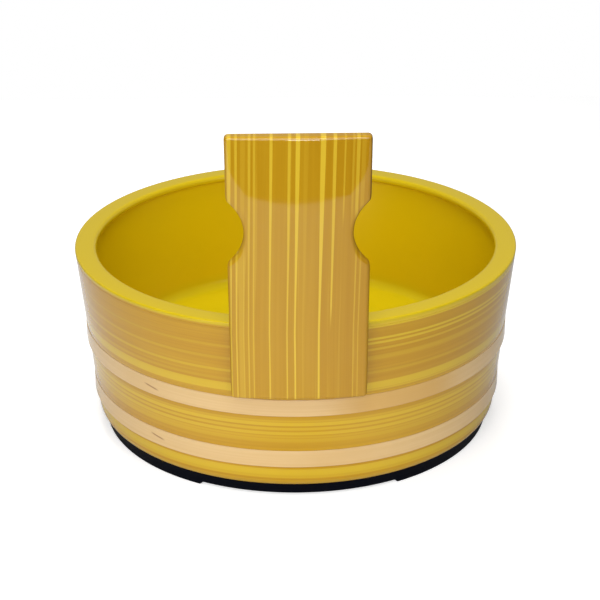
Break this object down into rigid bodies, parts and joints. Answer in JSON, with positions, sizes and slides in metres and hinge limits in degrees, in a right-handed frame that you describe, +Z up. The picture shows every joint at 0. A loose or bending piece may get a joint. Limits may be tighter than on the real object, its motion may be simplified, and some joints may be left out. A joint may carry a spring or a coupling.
{
  "type": "udon noodle bucket",
  "caption": "Round tapered lacquered serving tub with a wide rim, inlaid pale hoops, a footed black base and an upright scalloped handle, for carrying noodles to the table.",
  "frame": {"origin": "on the surface that the feet stand on, under the middle of the whole outline seen from above; the tub's own axis is 9.6 mm from it towards +Y", "axes": "+Z up, the handle on the -Y side, X across the handle"},
  "size_m": [0.2396, 0.259, 0.2037],
  "materials": {
    "black_lacquer": "satin black lacquer",
    "streaked_lacquer": "glossy lacquer, brown brushed with fine yellow streaks along the wall",
    "pale_wood": "clear lacquered pale wood",
    "handle_lacquer": "glossy lacquer, brown with yellow streaks up the board",
    "screw_steel": "plain steel",
    "yellow_lacquer": "satin yellow lacquer"
  },
  "bodies": {
    "root": {"base": "black_lacquer", "outer_shell": "streaked_lacquer", "lower_hoop": "pale_wood", "upper_hoop": "pale_wood", "handle": "handle_lacquer", "handle_screw_1": "screw_steel", "handle_screw_2": "screw_steel", "handle_screw_3": "screw_steel", "handle_screw_4": "screw_steel", "inner_bowl": "yellow_lacquer"}
  },
  "joints": []
}
